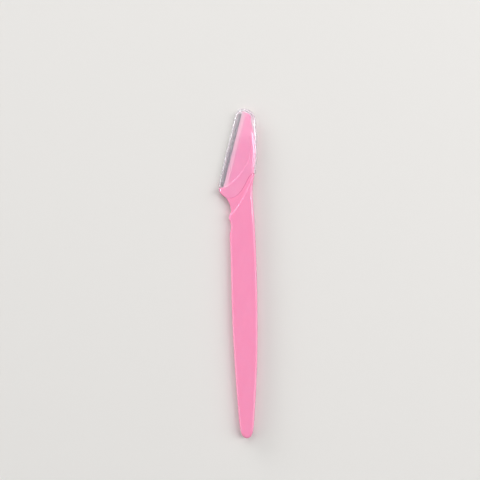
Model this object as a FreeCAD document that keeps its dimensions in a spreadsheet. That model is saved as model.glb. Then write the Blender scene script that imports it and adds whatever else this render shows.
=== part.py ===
import FreeCAD, Part
import math
import os

import Sketcher
from FreeCAD import Placement, Rotation, Vector

# Eyebrow razor with its cap on, in millimetres. While it is drawn, the tail end of the handle is at zero,
# +Y runs up the handle's long axis, the cutting edge looks towards -X and +Z is up from a flat face.
# A height is a distance from the tail end along Y, a reach is a distance from the long axis along X, and
# a lift is a distance along Z. The last step moves everything so that the origin is at the middle of the
# underside of the whole razor.

SIZES = {
    # Height of the shoulder where the cap stops. A drop is measured down from it, a rise up from it, and a run
    # from a neighbouring place
    "stop_height": 120.05,
    # Grip, from the tail end to the step below the neck
    "tail_reach": 3.25,
    "tail_height": 6.1,
    "grip_left": 5.85,
    "grip_right": 6.05,
    "grip_run": 5.1,
    "low_hollow_reach": 5.28,
    "low_hollow_run": 4.5,
    "tooth_reach": 6.15,
    "tooth_run": 1.12,
    "waist_reach": 4.95,
    "waist_drop": 6.85,
    "stop_reach": 6.06,
    "grip_thickness": 3.8,
    "grip_round": 1.0,
    # Step between the grip and the thinner neck
    "step_left_reach": 5.75,
    "step_left_drop": 18.33,
    "step_right_reach": 5.43,
    "step_run": 0.45,
    # Neck, with the lobe below the cutting edge and the spine behind the head
    "high_hollow_reach": 5.14,
    "high_hollow_run": 2.48,
    "lobe_reach": 10.23,
    "lobe_drop": 6.7,
    "lobe_round": 0.65,
    "back_reach": 6.66,
    "back_rise": 11.15,
    "spine_reach": 4.68,
    "spine_width": 1.4,
    "spine_drop": 8.04,
    "spine_round": 1.3,
    "spine_margin": 0.05,
    "stop_ledge": 0.44,
    "seam_inset": 0.15,
    "root_inset": 0.7,
    "root_run": 3.12,
    "root_drop": 14.05,
    "neck_thickness": 3.0,
    "neck_round": 0.5,
    # Head plate, which carries the blade
    "head_past_guard": 1.3,
    "head_tip_reach": 4.98,
    "head_tip_angle": 26.8,
    "head_tip_round": 1.1,
    "head_thickness": 2.4,
    "head_round": 0.4,
    "lip_thickness": 1.3,
    "lip_bevel": 1.77,
    "fit": 0.02,
    # Cutting edge: its lower end and its lean from the long axis
    "heel_inset": 0.66,
    "heel_run": 1.55,
    "edge_angle": 15.27,
    # Blade
    "blade_width": 4.2,
    "blade_thickness": 0.25,
    "blade_end_gap": 0.4,
    "blade_inset": 0.25,
    "blade_bevel": 0.9,
    "blade_land": 0.03,
    "anchor_bore": 1.2,
    "anchor_row": 3.3,
    "anchor_pitch": 11.0,
    # Guard, folded over the cutting edge
    "guard_length": 34.4,
    "guard_sheet": 0.12,
    "guard_gap": 0.04,
    "guard_show": 1.33,
    "guard_tuck": 1.0,
    "comb_pitch": 0.55,
    "comb_slot": 0.25,
    "comb_depth": 1.0,
    "comb_margin": 0.6,
    # Cap, with its play round what it covers
    "cap_play": 0.15,
    "cap_face": 0.65,
    "cap_wall": 0.5,
    "cap_tip_wall": 0.75,
    "cap_round": 1.3,
    "cavity_round": 0.8,
    "cap_back_play": 0.35,
    "cap_back_rise": 4.8,
    "cap_tip_play": 0.3,
    "cap_edge_play_low": 0.63,
    "cap_edge_play_high": 0.85,
    "cap_edge_low": 5.6,
    "cap_edge_drop": 3.4,
    "cap_lobe_overlap": 0.2,
    "cap_stop_gap": 0.37,
    "cap_stop_overhang": 0.33,
    "cap_wall_gap": 0.25,
    "rim_left_inset": 2.83,
    "rim_left_run": 3.9,
    # Overrun of cutting shapes past what they cut
    "overrun": 2.0,
}

# Places along the handle: each lies up (1) or down (-1) from a neighbour by a run
PLACES = {
    "step_left": ("stop", -1, "step_left_drop"),
    "tooth": ("step_left", -1, "tooth_run"),
    "low_hollow": ("tooth", -1, "low_hollow_run"),
    "grip": ("low_hollow", -1, "grip_run"),
    "high_hollow": ("step_left", 1, "high_hollow_run"),
    "root_left": ("step_left", -1, "root_run"),
    "root_right": ("stop", -1, "root_drop"),
    "waist": ("stop", -1, "waist_drop"),
    "lobe": ("stop", -1, "lobe_drop"),
    "heel": ("lobe", 1, "heel_run"),
    "rim_left": ("lobe", -1, "rim_left_run"),
    "back": ("stop", 1, "back_rise"),
}

# Outline points between two corners, as shares of the way across and of the way up from the first corner
TAIL_SHARES = [(0.49, 0.118), (0.86, 0.5), (1, 1)]
LEFT_SHARES = [(0.692, 0.1885), (0.84, 0.375), (0.961, 0.659), (1, 1)]
LOW_HOLLOW_SHARES = [(0.175, 0.461), (0.772, 0.727), (1, 1)]
TOOTH_SHARES = [(0.425, 0.604), (1, 1)]
RIGHT_SHARES = [(0.694, 0.188), (0.87, 0.36), (0.992, 0.659), (0.952, 1)]
WAIST_SHARES = [(0.185, 0.23), (0.667, 0.599), (1, 1)]
STOP_SHARES = [(0.5, 0.657), (1, 1)]
STEP_SHARES = [(0.1887, 0.108), (0.399, 0.28), (0.619, 0.501), (0.79, 0.7245), (0.952, 0.9427), (1, 1)]
HIGH_HOLLOW_SHARES = [(0.89, 0.5), (1, 1)]
LOBE_SHARES = [(0.13, 0.306), (0.407, 0.563), (0.6, 0.667), (0.8, 0.767), (0.93, 0.869), (1, 1)]
RIDGE_SHARES = [(0.152, 0.029), (0.3626, 0.1036), (0.5884, 0.232), (0.7756, 0.37), (0.917, 0.5216),
                (0.982, 0.728), (1, 1)]
ROOT_SHARES = [(0.11, 0.42), (0.51, 0.745), (1, 1)]
NECK_BACK_SHARES = [(0.27, 0.26), (0.66, 0.5), (1, 1)]
SPINE_SHARES = [(0.62, 0.7), (1, 1)]
HEAD_BACK_SHARES = [(0.09, 0.27), (0.45, 0.57), (1, 1)]
CAP_BACK_SHARES = [(0.348, 0.146), (0.85, 0.5), (1, 1)]
CAP_TOP_SHARES = [(0.039, 0.42), (0.223, 0.81), (0.627, 0.965), (1, 1)]
CAP_LEFT_SHARES = [(0.46, 0.1), (0.79, 0.46), (1, 1)]
CAP_EDGE_SHARES = [(0.3, 0.3), (0.7, 0.7), (1, 1)]
CAP_LOBE_SHARES = [(0.6, 0.45), (0.88, 0.78), (1, 1)]
CAP_UNDER_SHARES = [(0.109, 0.346), (0.34, 0.603), (0.686, 0.833), (1, 1)]
RIM_SHARES = [(0.1595, -0.0137), (0.309, 0.0365), (0.4365, 0.154), (0.6135, 0.444), (0.7716, 0.8013),
              (0.8368, 0.9125), (1, 1)]

doc = FreeCAD.newDocument("eyebrow_razor")
sheet = doc.addObject("Spreadsheet::Sheet", "sizes")


def fill_sheet():
    for row, (name, value) in enumerate(SIZES.items(), start=1):
        sheet.set(f"A{row}", name)
        sheet.set(f"B{row}", str(value))
        sheet.setAlias(f"B{row}", name)
    doc.recompute()


def size(name):
    return float(sheet.get(name))


# Flat curves

def at(reach, height):
    """A point of the plan, to the right of the long axis and up from the tail end."""
    return Vector(reach, height, 0)


def height(place):
    """Height of a place above the tail end, by the runs that lead to it from the shoulder."""
    if place == "stop":
        return size("stop_height")
    neighbour, way, run = PLACES[place]
    return height(neighbour) + way * size(run)


def height_cells(place):
    """The same height as a sum of the sheet's cells."""
    if place == "stop":
        return "sizes.stop_height"
    neighbour, way, run = PLACES[place]
    return f"{height_cells(neighbour)} + {way} * sizes.{run}"


def spread(first, last, shares):
    """Points between two corners, each a share of the way across and up."""
    return [at(first.x + across * (last.x - first.x), first.y + up * (last.y - first.y))
            for across, up in shares]


def polyline(*points):
    return [Part.LineSegment(first, last) for first, last in zip(points, points[1:])]


def turned(direction, angle):
    return at(direction.x * math.cos(angle) - direction.y * math.sin(angle),
              direction.x * math.sin(angle) + direction.y * math.cos(angle))


def arc_leaving(start, direction, end):
    """The arc that leaves a point in a direction and ends at another point."""
    chord = end - start
    half_turn = math.atan2(direction.x * chord.y - direction.y * chord.x, chord.dot(direction))
    if abs(half_turn) < math.radians(0.001):
        return Part.LineSegment(start, end)
    sagitta = turned(direction, half_turn - math.pi / 2) * (chord.Length / 2 * math.tan(half_turn / 2))
    return Part.Arc(start, (start + end) / 2 + sagitta, end)


def arc_pair(start, leaving, end, arriving):
    """Two arcs that meet smoothly, from a point and direction to another point and direction."""
    chord = end - start
    both = leaving + arriving
    bend = 2 * (1 - leaving.dot(arriving))
    root = math.sqrt(chord.dot(both) ** 2 + bend * chord.dot(chord))
    reach = chord.dot(chord) / (chord.dot(both) + root)
    meeting = (start + end + (leaving - arriving) * reach) / 2
    first_chord = (meeting - start).normalize()
    middle = first_chord * (2 * first_chord.dot(leaving)) - leaving
    return [arc_leaving(start, leaving, meeting), arc_leaving(meeting, middle, end)]


def smooth(points):
    """Arcs that run through all the points without a corner."""
    curve = Part.BSplineCurve()
    curve.interpolate(Points=points)
    directions = [curve.tangent(knot)[0] for knot in curve.getKnots()]
    arcs = []
    for start, leaving, end, arriving in zip(points, directions, points[1:], directions[1:]):
        arcs += arc_pair(start, leaving, end, arriving)
    return arcs


# Bodies, sketches and features

def new_body(name):
    return doc.addObject("PartDesign::Body", name)


def origin_plane(body, role):
    return next(feature for feature in body.Origin.OriginFeatures if feature.Role == role)


def join_ends(sketch, first_index):
    """Ties each curve's end to the next curve's start, round a closed loop."""
    ties = []
    for index in range(first_index, sketch.GeometryCount):
        following = index + 1 if index + 1 < sketch.GeometryCount else first_index
        pairs = [(near, far) for near in (1, 2) for far in (1, 2)]
        near, far = min(pairs, key=lambda ends: (sketch.getPoint(index, ends[0])
                                                 - sketch.getPoint(following, ends[1])).Length)
        ties.append(Sketcher.Constraint("Coincident", index, near, following, far))
    sketch.addConstraint(ties)


def new_sketch(body, name, loops, role="XY_Plane"):
    """A sketch of closed loops on one of the body's own planes."""
    sketch = body.newObject("Sketcher::SketchObject", name)
    sketch.AttachmentSupport = [(origin_plane(body, role), "")]
    sketch.MapMode = "FlatFace"
    for loop in loops:
        first_index = sketch.GeometryCount
        sketch.addGeometry(loop, False)
        join_ends(sketch, first_index)
    sketch.Visibility = False
    return sketch


def bound(sketch, kind, expression, *where):
    """Ties a distance in the sketch to the sheet."""
    number = sketch.addConstraint(Sketcher.Constraint(kind, *where))
    sketch.setExpression(f"Constraints[{number}]", expression)


def rectangle(body, name, near, far):
    """A rectangle in plan, its two corners given as expressions of the sheet's cells."""
    corners = [at(0, 0), at(1, 0), at(1, 1), at(0, 1)]
    sketch = new_sketch(body, name, [polyline(*corners, corners[0])])
    for side, kind in enumerate(("Horizontal", "Vertical", "Horizontal", "Vertical")):
        sketch.addConstraint(Sketcher.Constraint(kind, side))
    for kind, low, high in zip(("DistanceX", "DistanceY"), near, far):
        bound(sketch, kind, low, -1, 1, 0, 1, 0)
        bound(sketch, kind, high, -1, 1, 2, 1, 1)
    return sketch


def anchors(body, name, diameter):
    """Three circles in a row along the blade, where the handle's pegs pass through it."""
    sketch = new_sketch(body, name, [])
    middle, pitch = size("guard_length") / 2, size("anchor_pitch")
    for index, step in enumerate((-1, 0, 1)):
        centre = at(size("anchor_row"), middle + step * pitch)
        sketch.addGeometry(Part.Circle(centre, Vector(0, 0, 1), size("anchor_bore") / 2), False)
        bound(sketch, "DistanceX", "sizes.anchor_row", -1, 1, index, 3, centre.x)
        bound(sketch, "DistanceY", f"sizes.guard_length / 2 + {step} * sizes.anchor_pitch",
              -1, 1, index, 3, centre.y)
        bound(sketch, "Diameter", diameter, index, size("anchor_bore"))
    return sketch


def pad(body, name, sketch, thickness):
    """Adds the sketch's thickness evenly to both sides of its plane."""
    feature = body.newObject("PartDesign::Pad", name)
    feature.Profile = sketch
    feature.Midplane = True
    feature.setExpression("Length", thickness)
    doc.recompute()
    return feature


def pad_along(body, name, section, length):
    """Draws a section on the plane across the blade out along the blade."""
    feature = body.newObject("PartDesign::Pad", name)
    feature.Profile = section
    feature.Reversed = True
    feature.setExpression("Length", length)
    doc.recompute()
    return feature


def pocket_through(body, name, sketch):
    """Cuts the sketch right through, to both sides of its plane."""
    before = body.Shape.Volume
    feature = body.newObject("PartDesign::Pocket", name)
    feature.Profile = sketch
    feature.Type = "ThroughAll"
    feature.Midplane = True
    doc.recompute()
    if not feature.Shape.Volume < before:
        raise RuntimeError(f"{name} cuts nothing")
    return feature


def edges_along(feature, curves, lift):
    """Names of the feature's edges that run along the flat curves, at this height above and below."""
    tolerance = size("fit") / 10
    track = Part.Compound([curve.toShape() for curve in curves])
    names = []
    for number, edge in enumerate(feature.Shape.Edges, start=1):
        middle = edge.valueAt((edge.FirstParameter + edge.LastParameter) / 2)
        places = [vertex.Z for vertex in edge.Vertexes] + [middle.z]
        level = all(abs(abs(place) - lift) < tolerance for place in places)
        if level and Part.Vertex(at(middle.x, middle.y)).distToShape(track)[0] < tolerance:
            names.append(f"Edge{number}")
    return names


def fillet(body, name, base, curves, lift, radius):
    """Rounds the edges that run along the curves, both above and below."""
    names = edges_along(base, curves, lift)
    if len(names) < 2 * len(curves):
        raise RuntimeError(f"{name} finds {len(names)} edges for {len(curves)} curves")
    feature = body.newObject("PartDesign::Fillet", name)
    feature.Base = (base, names)
    feature.setExpression("Radius", radius)
    doc.recompute()
    return feature


# Directions of the cutting edge: along it towards its top end, and in from it across the head

def edge_along():
    return turned(at(0, 1), -math.radians(size("edge_angle")))


def edge_inward():
    return turned(at(1, 0), -math.radians(size("edge_angle")))


def heel_reach():
    return size("lobe_reach") - size("heel_inset")


def edge_point(along, inward):
    return at(-heel_reach(), height("heel")) + edge_along() * along + edge_inward() * inward


def lay_on_edge(item):
    """Moves a body drawn with its length along +Y from zero onto the cutting edge."""
    item.Placement = Placement(edge_point(0, 0), Rotation(Vector(0, 0, 1), -size("edge_angle")))


# Grip

def step_ends():
    left = at(-size("step_left_reach"), height("step_left"))
    return left, at(size("step_right_reach"), height("stop"))


def grip_points():
    """From beyond the step's left end down the waves, round the tail and up to the cap's stop."""
    tail_end = at(0, 0)
    grip_left = at(-size("grip_left"), height("grip"))
    grip_right = at(size("grip_right"), height("grip"))
    hollow = at(-size("low_hollow_reach"), height("low_hollow"))
    tooth = at(-size("tooth_reach"), height("tooth"))
    waist = at(size("waist_reach"), height("waist"))
    step_left = step_ends()[0]
    left = spread(tail_end, at(-size("tail_reach"), size("tail_height")), TAIL_SHARES)
    left += spread(tail_end, grip_left, LEFT_SHARES)
    left += spread(grip_left, hollow, LOW_HOLLOW_SHARES) + spread(hollow, tooth, TOOTH_SHARES)
    beyond = step_left + (step_left - tooth).normalize() * size("overrun")
    left += [step_left, beyond]
    right = spread(tail_end, at(size("tail_reach"), size("tail_height")), TAIL_SHARES)
    right += spread(tail_end, grip_right, RIGHT_SHARES)
    right += spread(right[-1], waist, WAIST_SHARES)
    right += spread(waist, at(size("stop_reach"), height("stop")), STOP_SHARES)
    return left[::-1] + [tail_end] + right


def step_mask(shift):
    """The area above the step, with the step itself moved down and to the right by a shift."""
    left, right = step_ends()
    lean = turned(right - left, -math.pi / 2).normalize()
    points = [point + lean * shift for point in [left] + spread(left, right, STEP_SHARES)]
    start, end = points[0], points[-1]
    top = right.y + size("overrun") * 2
    far_left, far_right = left.x - size("overrun") * 2, right.x + size("overrun")
    corners = [end, at(far_right, end.y), at(far_right, top), at(far_left, top), at(far_left, start.y), start]
    return smooth(points) + polyline(*corners)


def make_grip():
    body = new_body("grip")
    points = grip_points()
    side = smooth(points)
    stop_inner = at(0, height("stop"))
    waste = points[0] + at(-size("overrun"), size("overrun"))
    outline = new_sketch(body, "grip_outline", [side + polyline(points[-1], stop_inner, waste, points[0])])
    plate = pad(body, "grip_plate", outline, "sizes.grip_thickness")
    fillet(body, "grip_edges", plate, side, size("grip_thickness") / 2, "sizes.grip_round")
    beyond = new_sketch(body, "step_beyond", [step_mask(-size("step_run"))])
    pocket_through(body, "step_through", beyond)
    return body


def make_step_tool(name, upward):
    """A wedge that slopes the grip down to the neck, above the razor's middle plane or below it."""
    body = new_body(name)
    low, high = size("neck_thickness") / 2, size("grip_thickness") / 2
    rise = high - low
    sketches = []
    levels = {"foot": (-size("step_run"), low - rise), "top": (2 * size("step_run"), high + rise)}
    for end, (shift, lift) in levels.items():
        sketch = new_sketch(body, f"{name}_{end}", [step_mask(shift)])
        sketch.AttachmentOffset = Placement(Vector(0, 0, lift * upward), Rotation())
        sketches.append(sketch)
    loft = body.newObject("PartDesign::AdditiveLoft", f"{name}_wedge")
    loft.Profile = sketches[0]
    loft.Sections = [sketches[1]]
    loft.Ruled = True
    doc.recompute()
    return body


# Neck

def back_points():
    """From the root inside the grip up the back of the neck to the top of the spine."""
    spine_back = spine_foot() + at(size("spine_width"), 0)
    ledge = at(size("stop_reach") - size("stop_ledge"), height("stop"))
    root = at(size("waist_reach") - size("root_inset"), height("root_right"))
    back = at(size("back_reach"), height("back"))
    points = [root] + spread(root, ledge, ROOT_SHARES) + spread(ledge, back, NECK_BACK_SHARES)
    return points + spread(back, spine_back, SPINE_SHARES)


def neck_points():
    """From the step's left end round the lobe, along the ridge below the head, round the spine's top
    and down the back to the root inside the grip."""
    start = at(size("seam_inset") - size("step_left_reach"), height("step_left"))
    hollow = at(-size("high_hollow_reach"), height("high_hollow"))
    lobe = at(-size("lobe_reach"), height("lobe"))
    lobe_centre = lobe + at(size("lobe_round"), 0)
    lobe_corner = lobe_centre + turned(at(-size("lobe_round"), 0), -math.pi / 4)
    lobe_top = lobe_centre + at(0, size("lobe_round"))
    spine = spine_foot()
    spine_top = spine + at(size("spine_width") / 2, size("spine_width") / 2)
    points = [start] + spread(start, hollow, HIGH_HOLLOW_SHARES) + spread(hollow, lobe, LOBE_SHARES)
    points += [lobe_corner, lobe_top] + spread(lobe_top, spine, RIDGE_SHARES) + [spine_top]
    return points + back_points()[::-1]


def make_neck():
    body = new_body("neck")
    points = neck_points()
    side = smooth(points)
    root_left = at(size("root_inset") - size("low_hollow_reach"), height("root_left"))
    outline = new_sketch(body, "neck_outline", [side + polyline(points[-1], root_left, points[0])])
    plate = pad(body, "neck_plate", outline, "sizes.neck_thickness")
    fillet(body, "neck_edges", plate, side, size("neck_thickness") / 2, "sizes.neck_round")
    return body


# Head plate

def head_tips():
    """The top corners of the head plate, at the cutting edge's side and at the back."""
    left = edge_point(size("guard_length") + size("head_past_guard"), size("guard_show"))
    fall = math.tan(math.radians(size("head_tip_angle"))) * (size("head_tip_reach") - left.x)
    return left, at(size("head_tip_reach"), left.y - fall)


def spine_foot():
    """Where the spine's rounded top begins, on the side towards the blade."""
    return at(size("spine_reach"), head_tips()[1].y - size("spine_drop"))


def head_back_points():
    """From the end of the tip's bend down the back of the head to the side of the spine."""
    start = head_tips()[1] - at(0, size("head_tip_round"))
    spine_side = spine_foot() + at(size("spine_width") - size("seam_inset"), 0)
    return [start] + spread(start, spine_side, HEAD_BACK_SHARES)


def make_head():
    body = new_body("head")
    left, right = head_tips()
    along_top = (left - right).normalize()
    top_end = right + along_top * size("head_tip_round")
    down_back = head_back_points()
    back_start, spine_side = down_back[0], down_back[-1]
    bend = arc_pair(top_end, -along_top, back_start, at(0, -1))
    back = smooth(down_back)
    root = at(size("spine_reach"), height("stop") + size("neck_thickness"))
    heel = edge_point(-size("lobe_round"), size("guard_show"))
    # The lower side dips below the curved step, so that it ends inside the neck all along
    buried = (root + heel) * 0.5 - at(0, size("neck_thickness"))
    rounded = polyline(left, top_end) + bend + back
    outline = new_sketch(body, "head_outline", [rounded + polyline(spine_side, root, buried, heel, left)])
    plate = pad(body, "head_plate", outline, "sizes.head_thickness")
    fillet(body, "head_edges", plate, rounded, size("head_thickness") / 2, "sizes.head_round")

    # The face slopes down to a thin lip along the blade
    lip, full = size("lip_thickness") / 2, size("head_thickness") / 2
    slope = (full - lip) / size("lip_bevel")
    inner = size("guard_show") + size("lip_bevel")
    outer = size("guard_show") - size("overrun")
    rim = full + size("overrun")
    profile = [at(outer, lip - slope * size("overrun")), at(inner, full), at(inner, rim), at(outer, rim)]
    loops = [polyline(*[at(point.x, point.y * side) for point in profile + profile[:1]]) for side in (1, -1)]
    bevel = new_sketch(body, "lip_profile", loops, role="XZ_Plane")
    turn = Rotation(Vector(0, 1, 0), -size("edge_angle"))
    heel_place = Vector(-heel_reach(), 0, -height("heel"))
    bevel.AttachmentOffset = Placement(heel_place, turn)
    pocket_through(body, "lip_bevel_cut", bevel)
    return body


# Crown of the spine: neck and head keep only what lies inside this rounded plate

def make_crown():
    body = new_body("crown")
    margin = at(size("spine_margin"), 0)
    points = [point + margin for point in back_points() + head_back_points()[-2::-1]]
    low = at(points[0].x, height("root_left") - size("overrun"))
    top = at(points[-1].x + size("overrun"), head_tips()[0].y + size("overrun"))
    far_left = -size("lobe_reach") - size("overrun")
    side = smooth([low] + points + [top])
    corners = [top, at(far_left, top.y), at(far_left, low.y), low]
    outline = new_sketch(body, "crown_outline", [side + polyline(*corners)])
    plate = pad(body, "crown_plate", outline, "sizes.neck_thickness")
    fillet(body, "crown_edges", plate, side, size("neck_thickness") / 2, "sizes.spine_round")
    return body


# Slot in the head's cutting side, drawn along the cutting edge and then laid on it

def make_slot():
    body = new_body("slot")
    guard_room = rectangle(body, "guard_room", ("-sizes.overrun", "-sizes.fit"),
                           ("sizes.guard_show + sizes.guard_tuck + sizes.fit",
                            "sizes.guard_length + sizes.fit"))
    pad(body, "guard_slot", guard_room,
        "sizes.blade_thickness + 2 * (sizes.guard_gap + sizes.guard_sheet + sizes.fit)")
    blade_room = rectangle(body, "blade_room", ("-sizes.overrun", "sizes.blade_end_gap - sizes.fit"),
                           ("sizes.blade_inset + sizes.blade_width + sizes.fit",
                            "sizes.guard_length - sizes.blade_end_gap + sizes.fit"))
    pad(body, "blade_slot", blade_room, "sizes.blade_thickness + 2 * sizes.fit")
    pocket_through(body, "peg_gaps", anchors(body, "pegs", "sizes.anchor_bore - 2 * sizes.fit"))
    lay_on_edge(body)
    return body


# Blade, and the folded guard round its edge

def make_blade():
    body = new_body("blade")
    half, land = size("blade_thickness") / 2, size("blade_land") / 2
    inset, back = size("blade_inset"), size("blade_inset") + size("blade_width")
    shoulder = inset + size("blade_bevel")
    corners = [at(inset, land), at(shoulder, half), at(back, half), at(back, -half), at(shoulder, -half),
               at(inset, -land)]
    section = new_sketch(body, "blade_section", [polyline(*corners, corners[0])], role="XZ_Plane")
    section.setExpression(".AttachmentOffset.Base.z", "-sizes.blade_end_gap")
    pad_along(body, "blade_strip", section, "sizes.guard_length - 2 * sizes.blade_end_gap")
    pocket_through(body, "blade_holes", anchors(body, "blade_anchors", "sizes.anchor_bore"))
    lay_on_edge(body)
    return body


def make_guard():
    body = new_body("guard")
    inner = size("blade_thickness") / 2 + size("guard_gap")
    outer = inner + size("guard_sheet")
    leg_end = size("guard_show") + size("guard_tuck")
    nose = Part.Arc(at(outer, outer), at(0, 0), at(outer, -outer))
    fold = Part.Arc(at(outer, -inner), at(size("guard_sheet"), 0), at(outer, inner))
    below = polyline(at(outer, -outer), at(leg_end, -outer), at(leg_end, -inner), at(outer, -inner))
    above = polyline(at(outer, inner), at(leg_end, inner), at(leg_end, outer), at(outer, outer))
    section = new_sketch(body, "guard_section", [[nose] + below + [fold] + above], role="XZ_Plane")
    pad_along(body, "guard_sheet_fold", section, "sizes.guard_length")
    gap = rectangle(body, "comb_gap", ("-sizes.overrun", "sizes.comb_margin"),
                    ("sizes.comb_depth", "sizes.comb_margin + sizes.comb_slot"))
    first_gap = pocket_through(body, "comb_cut", gap)
    room = size("guard_length") - 2 * size("comb_margin") - size("comb_slot")
    row = body.newObject("PartDesign::LinearPattern", "comb")
    row.Originals = [first_gap]
    row.Direction = (origin_plane(body, "Y_Axis"), [""])
    row.Occurrences = int(room / size("comb_pitch")) + 1
    row.setExpression("Length", f"{row.Occurrences - 1} * sizes.comb_pitch")
    body.Tip = row
    doc.recompute()
    lay_on_edge(body)
    return body


# Cap, hollow and open below its rim

def cap_points(wall, tip_wall):
    """From the rim's right end up the back, over the tip and down the cutting side to the lobe."""
    right = at(size("stop_reach") + size("cap_stop_overhang") - size("cap_wall") + wall,
               height("stop") + size("cap_stop_gap"))
    back = at(size("back_reach") + size("cap_back_play") + wall, height("back") + size("cap_back_rise"))
    tip = head_tips()[0] + at(size("cap_tip_play"), size("cap_tip_play") + tip_wall)
    high = edge_point(size("guard_length") - size("cap_edge_drop"), -size("cap_edge_play_high") - wall)
    low = edge_point(size("cap_edge_low"), -size("cap_edge_play_low") - wall)
    lobe = at(size("cap_wall") - wall - size("lobe_reach") - size("cap_lobe_overlap"), height("lobe"))
    points = [right] + spread(right, back, CAP_BACK_SHARES) + spread(back, tip, CAP_TOP_SHARES)
    points += spread(tip, high, CAP_LEFT_SHARES) + spread(high, low, CAP_EDGE_SHARES)
    return points + spread(low, lobe, CAP_LOBE_SHARES)


def beyond(last, before, distance):
    """A point past the end of a row of points, in line with the last two."""
    return last + (last - before).normalize() * distance


def rim_points():
    left = at(size("rim_left_inset") - size("lobe_reach"), height("rim_left"))
    right = at(size("stop_reach") + size("cap_stop_overhang"), height("stop") + size("cap_stop_gap"))
    return [left] + spread(left, right, RIM_SHARES)


def make_shell():
    body = new_body("cap_shell")
    rim = rim_points()
    points = cap_points(size("cap_wall"), size("cap_tip_wall"))
    points += spread(points[-1], rim[0], CAP_UNDER_SHARES)
    start = beyond(points[0], points[1], 2 * size("overrun"))
    end = beyond(points[-1], points[-2], 2 * size("overrun"))
    along = (end - points[-1]).normalize()
    start_inner = start - at(2 * size("cap_round"), 0)
    end_inner = end + turned(along, math.pi / 2) * (2 * size("cap_round"))
    side = smooth([start] + points[1:-1] + [end])
    outline = new_sketch(body, "cap_outline", [side + polyline(end, end_inner, start_inner, start)])
    plate = pad(body, "cap_plate", outline, "sizes.neck_thickness + 2 * (sizes.cap_play + sizes.cap_face)")
    lift = size("neck_thickness") / 2 + size("cap_play") + size("cap_face")
    fillet(body, "cap_edges", plate, side, lift, "sizes.cap_round")
    first = beyond(rim[0], rim[1], size("overrun"))
    last = beyond(rim[-1], rim[-2], size("overrun"))
    low = rim[0].y - 2 * size("overrun")
    below = new_sketch(body, "rim_below", [smooth([first] + rim + [last])
                                           + polyline(last, at(last.x, low), at(first.x, low), first)])
    pocket_through(body, "rim_cut", below)
    return body


def make_cavity():
    body = new_body("cap_cavity")
    points = cap_points(0, 0)
    low = height("rim_left") - size("overrun")
    side = smooth([at(points[0].x, low)] + points + [at(points[-1].x, low)])
    mouth = polyline(at(points[-1].x, low), at(points[0].x, low))
    outline = new_sketch(body, "cavity_outline", [side + mouth])
    plate = pad(body, "cavity_plate", outline, "sizes.neck_thickness + 2 * sizes.cap_play")
    fillet(body, "cavity_edges", plate, side, size("neck_thickness") / 2 + size("cap_play"),
           "sizes.cavity_round")
    gate = rectangle(body, "lobe_gate",
                     ("-sizes.lobe_reach - sizes.overrun", height_cells("rim_left") + " - sizes.overrun"),
                     ("-sizes.high_hollow_reach",
                      height_cells("lobe") + " + sizes.lobe_round + sizes.cap_wall_gap"))
    pad(body, "lobe_opening", gate, "sizes.neck_thickness + 2 * sizes.cap_play")
    return body


# Whole razor

def cut(name, base, tool):
    result = doc.addObject("Part::Cut", name)
    result.Base = base
    result.Tool = tool
    doc.recompute()
    if not result.Shape.Volume < base.Shape.Volume:
        raise RuntimeError(f"{name} cuts nothing")
    return result


def join(name, shapes):
    result = doc.addObject("Part::MultiFuse", name)
    result.Shapes = shapes
    doc.recompute()
    return result


def make_handle():
    upper = cut("grip_upper_step", make_grip(), make_step_tool("upper_step", 1))
    stepped = cut("grip_lower_step", upper, make_step_tool("lower_step", -1))
    crowned = doc.addObject("Part::Common", "crowned_neck")
    crowned.Base = join("neck_and_head", [make_neck(), make_head()])
    crowned.Tool = make_crown()
    doc.recompute()
    return cut("handle", join("handle_solid", [stepped, crowned]), make_slot())


fill_sheet()
pieces = {"handle": make_handle(), "blade": make_blade(), "guard": make_guard(),
          "cap": cut("cap", make_shell(), make_cavity())}
plates = Part.Compound([doc.getObject(name).Shape for name in ("grip_plate", "cap_plate")]).BoundBox
underside_middle = Vector(plates.Center.x, plates.Center.y, plates.ZMin)
for name, piece in pieces.items():
    piece.Label = name
    piece.Placement = Placement(-underside_middle, Rotation()).multiply(piece.Placement)
doc.recompute()

for feature in doc.Objects:
    if "Invalid" in feature.State or "Error" in feature.State:
        raise RuntimeError(f"{feature.Name} failed: {feature.State}")
for name, piece in pieces.items():
    if piece.Shape.isNull() or not piece.Shape.isValid() or len(piece.Shape.Solids) != 1:
        raise RuntimeError(f"{name} is not one valid solid")

os.makedirs("parts", exist_ok=True)
for name, piece in pieces.items():
    piece.Shape.exportStep(f"parts/{name}.step")
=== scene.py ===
import math

import bpy
from mathutils import Matrix, Vector


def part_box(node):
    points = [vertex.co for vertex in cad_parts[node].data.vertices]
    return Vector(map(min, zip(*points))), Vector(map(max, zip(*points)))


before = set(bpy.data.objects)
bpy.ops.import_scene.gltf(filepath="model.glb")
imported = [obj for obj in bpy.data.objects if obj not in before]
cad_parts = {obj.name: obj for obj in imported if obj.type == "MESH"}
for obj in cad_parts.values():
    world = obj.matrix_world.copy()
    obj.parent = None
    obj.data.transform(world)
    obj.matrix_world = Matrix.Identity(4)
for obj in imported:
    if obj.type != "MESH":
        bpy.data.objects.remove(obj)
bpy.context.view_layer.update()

MM = 0.001

# Places of the razor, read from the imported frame
CAP_LOW, CAP_HIGH = (Vector(corner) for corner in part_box("cap"))
GUARD_LOW = Vector(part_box("guard")[0])
MIDDLE_LIFT = (CAP_LOW.z + CAP_HIGH.z) / 2

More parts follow.
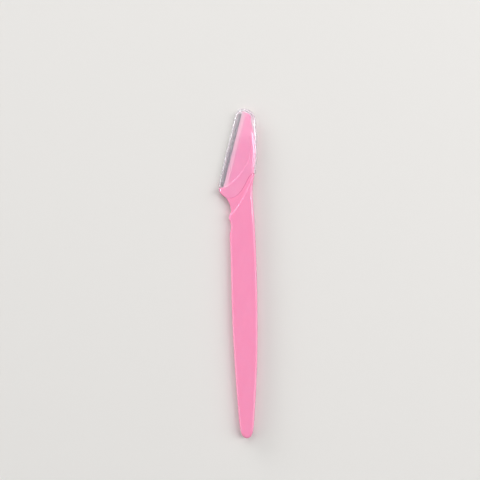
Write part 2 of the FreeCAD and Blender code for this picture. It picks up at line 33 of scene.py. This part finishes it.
# The cutting edge: its lean from the long axis, and its lower end, a little above the guard's lowest corner
EDGE_ANGLE = math.radians(15.27)
EDGE_ALONG = Vector((math.sin(EDGE_ANGLE), math.cos(EDGE_ANGLE), 0))
EDGE_INWARD = Vector((math.cos(EDGE_ANGLE), -math.sin(EDGE_ANGLE), 0))
UPWARD = Vector((0, 0, 1))
HEEL_RISE = 0.6 * MM
HEEL = Vector((GUARD_LOW.x, GUARD_LOW.y + HEEL_RISE, MIDDLE_LIFT))

# Camera: where the middle of the photograph looks, how much it takes in and how far the handle leans
VIEW_MIDDLE = Vector((0.19 * MM, 15.27 * MM, 2.3 * MM))
VIEW_HALF_WIDTH = 109.4 * MM
VIEW_ROLL = math.radians(-1.24)
LENS = 90.0
SENSOR = 36.0
NEAREST_SEEN = 0.01
FARTHEST_SEEN = 10.0

# Colours, as written in sRGB and turned to linear light
PINK = "FE93BD"
PINK_DEEP = "FD8FBA"
PINK_PALE = "D6B4C0"
BLADE_STEEL = "C6C7CB"
BLADE_STEEL_DARK = "A2A3A8"
GUARD_STEEL = "8F898B"
GUARD_STEEL_DARK = "787375"
CAP_TINT = "FAF4FC"
CAP_TINT_PALE = "FDFAFE"
# Painted shade: the pink line on the cap's sharp edges stands in for the shadow under its rim
CAP_RIM_SHADE = "EA9ABC"
FLOOR = "E6E4E1"
FLOOR_PALE = "E9E7E4"
WHITE = "FFFFFF"

# Most of a noise pattern's values lie between these two
NOISE_LOW = 0.3
NOISE_HIGH = 0.7

# Handle: how its colour drifts. A grain is a pattern's size across the cutting edge, along it and upward.
FLOW_GRAIN = (4 * MM, 22 * MM, 4 * MM)
FLOW_SHARE = 0.8
CLOUD_SIZE = 2.5 * MM
CLOUD_SHARE = 0.2

# Handle: the pale lip beside the guard, measured inward from the cutting edge and along it from the heel
LIP_START = 1.33 * MM
LIP_END = 4.4 * MM
LIP_FOOT_START = -0.6 * MM
LIP_FOOT_END = 0.8 * MM
LIP_SHARE = 0.85
STREAK_GRAIN = (0.25 * MM, 3 * MM, 1 * MM)
STREAK_LOW = 0.2
STREAK_HIGH = 0.8
STREAK_DIM_SHARE = 0.7

# Handle: its gloss, fresh and worn, its scuffs and the light inside the plastic
HANDLE_ROUGHNESS = (0.14, 0.2)
HANDLE_IOR = 1.57
COAT_SHARE = 0.6
COAT_ROUGHNESS = 0.06
WEAR_SIZE = 7 * MM
SCUFF_GRAIN = (0.12 * MM, 2.2 * MM, 0.12 * MM)
SCUFF_START = 0.55
SCUFF_FULL = 0.8
SCUFF_ROUGHNESS = 0.08
SCUFF_DEPTH = 0.0008 * MM
SKIN_SIZE = 0.22 * MM
SKIN_DEPTH = 0.0012 * MM
INNER_LIGHT_SHARE = 0.22
INNER_LIGHT_REACH = 1.2 * MM
INNER_LIGHT_COLOURS = (1.0, 0.45, 0.55)

# Marks that the mould leaves on handle and cap
EDGE_ROUND = 0.3 * MM
HANDLE_SEAM_WIDTH = 0.09 * MM
HANDLE_SEAM_HEIGHT = 0.03 * MM
CAP_SEAM_WIDTH = 0.08 * MM
CAP_SEAM_HEIGHT = 0.02 * MM

# Steel: its grinding lines and stains, and the roughness of each strip, clean and stained
BLADE_GRAIN = (2 * MM, 0.03 * MM, 1 * MM)
BLADE_ROUGHNESS = (0.2, 0.3)
GUARD_GRAIN = (0.5 * MM, 0.08 * MM, 0.3 * MM)
GUARD_ROUGHNESS = (0.35, 0.5)
GRINDING_DEPTH = 0.002 * MM
STAIN_SIZE = 3 * MM

# Cap: its milk, rub marks and clearness, face on and where the wall turns away
MILK_SIZE = 6 * MM
RUB_GRAIN = (0.3 * MM, 9 * MM, 1 * MM)
RUB_START = 0.45
RUB_FULL = 0.8
CAP_ROUGHNESS = (0.02, 0.08)
CAP_IOR = 1.49
CLEAR_SHARES = (0.99, 0.65)
FACE_ON = 0.1
TURNED_AWAY = 0.7

# Cap: the painted shade line on its sharp edges, by the cosine of the angle to the rounded edge
RIM_WIDTH = 0.9 * MM
RIM_TURNED = 0.85
RIM_FLAT = 0.998

# Floor: a sheet just below the razor
FLOOR_SIZE = 3.0
FLOOR_DROP = 0.02 * MM
FIBRE_SIZE = 0.6 * MM
FLOOR_ROUGHNESS = 0.9
FLOOR_SHINE = 0.1

# Lamps: the direction that each stands in, its distance, width and height in metres, and its level,
# which is the share of white that it adds to the flat top
LAMPS = {
    "key": ((-0.25, 0.7, 0.67), 2.0, 2.4, 2.0, 0.24),
    "edge_light": ((-0.68, 0.7, 0.22), 2.0, 1.8, 0.4, 0.1),
    "left_strip": ((-1.0, -0.1, 0.5), 1.5, 0.7, 0.6, 0.06),
    "spine_strip": ((0.66, 0.165, 0.73), 1.5, 0.17, 1.4, 0.22),
    "right_panel": ((0.81, -0.09, 0.57), 1.5, 0.8, 1.8, 0.17),
    "top_strip": ((0.15, 1.0, 0.7), 1.5, 0.5, 0.3, 0.02),
    "overhead": ((0.0, 0.182, 0.983), 1.5, 0.3, 0.2, 0.0045),
}

# Surroundings, as shares of white: what lights the razor, and what the eye, gloss and clear plastic see
FILL_LEVEL = 0.14
BACKDROP_LEVEL = 0.75
SEEING_RAYS = ("Is Camera Ray", "Is Glossy Ray", "Is Transmission Ray")

# A mix node's colour sockets: its two inputs and its output
MIX_FIRST, MIX_SECOND, MIX_RESULT = 6, 7, 2


def linear(hex_colour):
    """An sRGB colour as linear red, green, blue and a full alpha."""
    channels = [int(hex_colour[i:i + 2], 16) / 255 for i in (0, 2, 4)]
    return [c / 12.92 if c <= 0.04045 else ((c + 0.055) / 1.055) ** 2.4 for c in channels] + [1.0]


class Nodes:
    """A new material's node tree, with short ways to add and join nodes."""

    def __init__(self, name):
        self.material = bpy.data.materials.new(name)
        self.material.use_nodes = True
        self.tree = self.material.node_tree
        self.shader = self.tree.nodes["Principled BSDF"]
        self.coords = self.add("ShaderNodeTexCoord").outputs["Object"]

    def add(self, kind, **values):
        node = self.tree.nodes.new(kind)
        for name, value in values.items():
            setattr(node, name, value)
        return node

    def join(self, output, socket):
        self.tree.links.new(output, socket)

    def fill(self, socket, value):
        """Gives a socket a number or vector, or joins it to another node's output."""
        if isinstance(value, bpy.types.NodeSocket):
            self.join(value, socket)
        else:
            socket.default_value = value

    def set(self, **values):
        """Fills the shader's own sockets, named with underscores for spaces."""
        for name, value in values.items():
            self.fill(self.shader.inputs[name.replace("_", " ")], value)

    def math(self, operation, *values):
        node = self.add("ShaderNodeMath", operation=operation)
        for socket, value in zip(node.inputs, values):
            self.fill(socket, value)
        return node.outputs[0]

    def dot(self, first, second):
        node = self.add("ShaderNodeVectorMath", operation="DOT_PRODUCT")
        for socket, value in zip(node.inputs, (first, second)):
            self.fill(socket, value)
        return node.outputs["Value"]

    def from_heel(self, direction):
        """How far the surface lies from the cutting edge's lower end, in one direction."""
        return self.math("SUBTRACT", self.dot(self.coords, direction), HEEL.dot(direction))

    def noise(self, vector, scale, detail, roughness=0.5):
        node = self.add("ShaderNodeTexNoise")
        self.join(vector, node.inputs["Vector"])
        for name, value in (("Scale", scale), ("Detail", detail), ("Roughness", roughness)):
            node.inputs[name].default_value = value
        return node.outputs["Fac"]

    def clouds(self, size, detail):
        """Noise of one size in every direction."""
        return self.noise(self.coords, 1 / size, detail)

    def grain(self, sizes, detail, roughness=0.5):
        """Noise with its own size across the cutting edge, along it and upward."""
        node = self.add("ShaderNodeCombineXYZ")
        for socket, direction, size in zip(node.inputs, (EDGE_INWARD, EDGE_ALONG, UPWARD), sizes):
            self.join(self.dot(self.coords, direction / size), socket)
        return self.noise(node.outputs[0], 1.0, detail, roughness)

    def ramp(self, value, low, high, to_low=0.0, to_high=1.0):
        """Turns low and what is under it into to_low, high and what is over it into to_high."""
        node = self.add("ShaderNodeMapRange", interpolation_type="SMOOTHSTEP")
        for socket, number in zip(node.inputs[:5], (value, low, high, to_low, to_high)):
            self.fill(socket, number)
        return node.outputs["Result"]

    def spread(self, noise, to_low=0.0, to_high=1.0):
        """Stretches a noise pattern over the whole of a range."""
        return self.ramp(noise, NOISE_LOW, NOISE_HIGH, to_low, to_high)

    def mix(self, share, first, second):
        node = self.add("ShaderNodeMix", data_type="RGBA")
        self.fill(node.inputs["Factor"], share)
        self.fill(node.inputs[MIX_FIRST], first)
        self.fill(node.inputs[MIX_SECOND], second)
        return node.outputs[MIX_RESULT]

    def facing(self):
        """Nought where the surface faces the eye, one where it turns away."""
        return self.add("ShaderNodeLayerWeight").outputs["Facing"]

    def round_edges(self, radius, samples):
        """The surface's direction with its sharp edges rounded."""
        node = self.add("ShaderNodeBevel", samples=samples)
        node.inputs["Radius"].default_value = radius
        return node.outputs["Normal"]

    def bump(self, height, depth, under=None):
        node = self.add("ShaderNodeBump")
        node.inputs["Distance"].default_value = depth
        self.join(height, node.inputs["Height"])
        if under is not None:
            self.join(under, node.inputs["Normal"])
        return node.outputs["Normal"]


def painted_rim_shade(nodes):
    """Painted shade: one on the sharp edges, falling to nothing at the rim's width from them."""
    flat = nodes.add("ShaderNodeNewGeometry").outputs["Normal"]
    turn = nodes.dot(nodes.round_edges(RIM_WIDTH, samples=8), flat)
    return nodes.ramp(nodes.math("ABSOLUTE", turn), RIM_TURNED, RIM_FLAT, 1.0, 0.0)


def parting_line(nodes, width):
    """One along the mould's seam round the middle of the sides, falling to nothing at its width."""
    height = nodes.dot(nodes.coords, UPWARD)
    off = nodes.math("ABSOLUTE", nodes.math("SUBTRACT", height, MIDDLE_LIFT))
    return nodes.ramp(off, 0.0, width, 1.0, 0.0)


def pale_lip(nodes):
    """How much of the steel strip shows through the thin lip beside the guard."""
    lip = nodes.ramp(nodes.from_heel(EDGE_INWARD), LIP_START, LIP_END, LIP_SHARE, 0.0)
    foot = nodes.ramp(nodes.from_heel(EDGE_ALONG), LIP_FOOT_START, LIP_FOOT_END)
    streaks = nodes.grain(STREAK_GRAIN, detail=3.0)
    streaks = nodes.ramp(streaks, STREAK_LOW, STREAK_HIGH, STREAK_DIM_SHARE, 1.0)
    return nodes.math("MULTIPLY", nodes.math("MULTIPLY", lip, foot), streaks)


def handle_plastic():
    """Glossy pink plastic with faint flow, wear and scuffs."""
    nodes = Nodes("handle_plastic")
    flow = nodes.math("MULTIPLY", nodes.grain(FLOW_GRAIN, detail=3.0), FLOW_SHARE)
    cloud = nodes.math("MULTIPLY", nodes.clouds(CLOUD_SIZE, detail=2.0), CLOUD_SHARE)
    shade = nodes.spread(nodes.math("ADD", flow, cloud))
    colour = nodes.mix(shade, linear(PINK_DEEP), linear(PINK))
    colour = nodes.mix(pale_lip(nodes), colour, linear(PINK_PALE))

    scuffs = nodes.grain(SCUFF_GRAIN, detail=4.0, roughness=0.6)
    worn = nodes.spread(nodes.clouds(WEAR_SIZE, detail=3.0), *HANDLE_ROUGHNESS)
    scuffed = nodes.ramp(scuffs, SCUFF_START, SCUFF_FULL, 0.0, SCUFF_ROUGHNESS)
    roughness = nodes.math("ADD", worn, scuffed)

    normal = nodes.round_edges(EDGE_ROUND, samples=6)
    normal = nodes.bump(nodes.clouds(SKIN_SIZE, detail=2.0), SKIN_DEPTH, under=normal)
    normal = nodes.bump(parting_line(nodes, HANDLE_SEAM_WIDTH), HANDLE_SEAM_HEIGHT, under=normal)
    normal = nodes.bump(scuffs, SCUFF_DEPTH, under=normal)
    nodes.set(Base_Color=colour, Roughness=roughness, IOR=HANDLE_IOR, Normal=normal,
              Coat_Weight=COAT_SHARE, Coat_Roughness=COAT_ROUGHNESS,
              Subsurface_Weight=INNER_LIGHT_SHARE, Subsurface_Scale=INNER_LIGHT_REACH,
              Subsurface_Radius=INNER_LIGHT_COLOURS)
    return nodes.material


def steel(name, tone, dark, grain, roughness):
    """Ground strip steel with its grain across the cutting edge."""
    nodes = Nodes(name)
    lines = nodes.grain(grain, detail=4.0, roughness=0.65)
    colour = nodes.mix(nodes.spread(lines), linear(dark), linear(tone))
    stained = nodes.spread(nodes.clouds(STAIN_SIZE, detail=3.0), *roughness)
    nodes.set(Base_Color=colour, Metallic=1.0, Roughness=stained,
              Normal=nodes.bump(lines, GRINDING_DEPTH))
    return nodes.material


def cap_plastic():
    """Clear plastic, faintly milky, with a fine seam, rub marks from the handle and a painted pink shade
    line along its sharp edges.
    """
    nodes = Nodes("cap_plastic")
    milk = nodes.spread(nodes.clouds(MILK_SIZE, detail=2.0))
    colour = nodes.mix(milk, linear(CAP_TINT), linear(CAP_TINT_PALE))
    # Painted shade: a pink line along the cap's sharp edges, standing in for the shadow under its rim
    colour = nodes.mix(painted_rim_shade(nodes), colour, linear(CAP_RIM_SHADE))
    rub = nodes.grain(RUB_GRAIN, detail=4.0, roughness=0.6)
    roughness = nodes.ramp(rub, RUB_START, RUB_FULL, *CAP_ROUGHNESS)
    clear = nodes.ramp(nodes.facing(), FACE_ON, TURNED_AWAY, *CLEAR_SHARES)
    normal = nodes.round_edges(EDGE_ROUND, samples=6)
    normal = nodes.bump(parting_line(nodes, CAP_SEAM_WIDTH), CAP_SEAM_HEIGHT, under=normal)
    nodes.set(Base_Color=colour, Roughness=roughness, IOR=CAP_IOR, Transmission_Weight=clear,
              Normal=normal)
    return nodes.material


def floor_paper():
    nodes = Nodes("floor_paper")
    colour = nodes.mix(nodes.clouds(FIBRE_SIZE, detail=3.0), linear(FLOOR), linear(FLOOR_PALE))
    nodes.set(Base_Color=colour, Roughness=FLOOR_ROUGHNESS, Specular_IOR_Level=FLOOR_SHINE)
    return nodes.material


def paint(node_name, material):
    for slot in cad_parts[node_name].material_slots:
        slot.material = material


def floor():
    height = CAP_LOW.z - FLOOR_DROP
    bpy.ops.mesh.primitive_plane_add(size=FLOOR_SIZE, location=(VIEW_MIDDLE.x, VIEW_MIDDLE.y, height))
    plane = bpy.context.object
    plane.name = "floor"
    plane.data.materials.append(floor_paper())


def softbox(name, direction, distance, width, height, level):
    """An area lamp that looks at the razor."""
    direction = Vector(direction).normalized()
    lamp = bpy.data.lights.new(name, "AREA")
    lamp.shape = "RECTANGLE"
    lamp.size, lamp.size_y = width, height
    # White shows the lamp's power over a sphere of this radius, less what the slant takes
    lamp.energy = level * 4 * math.pi * distance ** 2 / direction.z
    place = VIEW_MIDDLE + direction * distance
    turn = (VIEW_MIDDLE - place).to_track_quat("-Z", "Y")
    item = bpy.data.objects.new(name, lamp)
    item.matrix_world = Matrix.Translation(place) @ turn.to_matrix().to_4x4()
    item.visible_camera = False
    bpy.context.scene.collection.objects.link(item)


def surroundings():
    """A soft even fill, which the camera, gloss and clear plastic see as a pale backdrop."""
    world = bpy.data.worlds.new("world")
    bpy.context.scene.world = world
    world.use_nodes = True
    tree = world.node_tree
    path = tree.nodes.new("ShaderNodeLightPath")
    seen = path.outputs[SEEING_RAYS[0]]
    for ray in SEEING_RAYS[1:]:
        either = tree.nodes.new("ShaderNodeMath")
        either.operation = "MAXIMUM"
        tree.links.new(seen, either.inputs[0])
        tree.links.new(path.outputs[ray], either.inputs[1])
        seen = either.outputs[0]
    strength = tree.nodes.new("ShaderNodeMapRange")
    strength.inputs["To Min"].default_value = FILL_LEVEL
    strength.inputs["To Max"].default_value = BACKDROP_LEVEL
    tree.links.new(seen, strength.inputs["Value"])
    background = tree.nodes["Background"]
    background.inputs["Color"].default_value = linear(WHITE)
    tree.links.new(strength.outputs["Result"], background.inputs["Strength"])


def camera():
    data = bpy.data.cameras.new("camera")
    data.lens, data.sensor_width = LENS, SENSOR
    data.clip_start, data.clip_end = NEAREST_SEEN, FARTHEST_SEEN
    distance = VIEW_HALF_WIDTH / (SENSOR / 2 / LENS)
    item = bpy.data.objects.new("camera", data)
    item.location = VIEW_MIDDLE + UPWARD * distance
    item.rotation_euler = (0, 0, VIEW_ROLL)
    bpy.context.scene.collection.objects.link(item)
    bpy.context.scene.camera = item


paint("handle", handle_plastic())
paint("blade", steel("blade_steel", BLADE_STEEL, BLADE_STEEL_DARK, BLADE_GRAIN, BLADE_ROUGHNESS))
paint("guard", steel("guard_steel", GUARD_STEEL, GUARD_STEEL_DARK, GUARD_GRAIN, GUARD_ROUGHNESS))
paint("cap", cap_plastic())

# The handle under the clear cap keeps its light: the cap throws no shadow and sends no soft light
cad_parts["cap"].visible_shadow = False
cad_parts["cap"].visible_diffuse = False

floor()
for lamp_name, lamp_values in LAMPS.items():
    softbox(lamp_name, *lamp_values)
surroundings()
camera()
bpy.context.scene.view_settings.view_transform = "Standard"
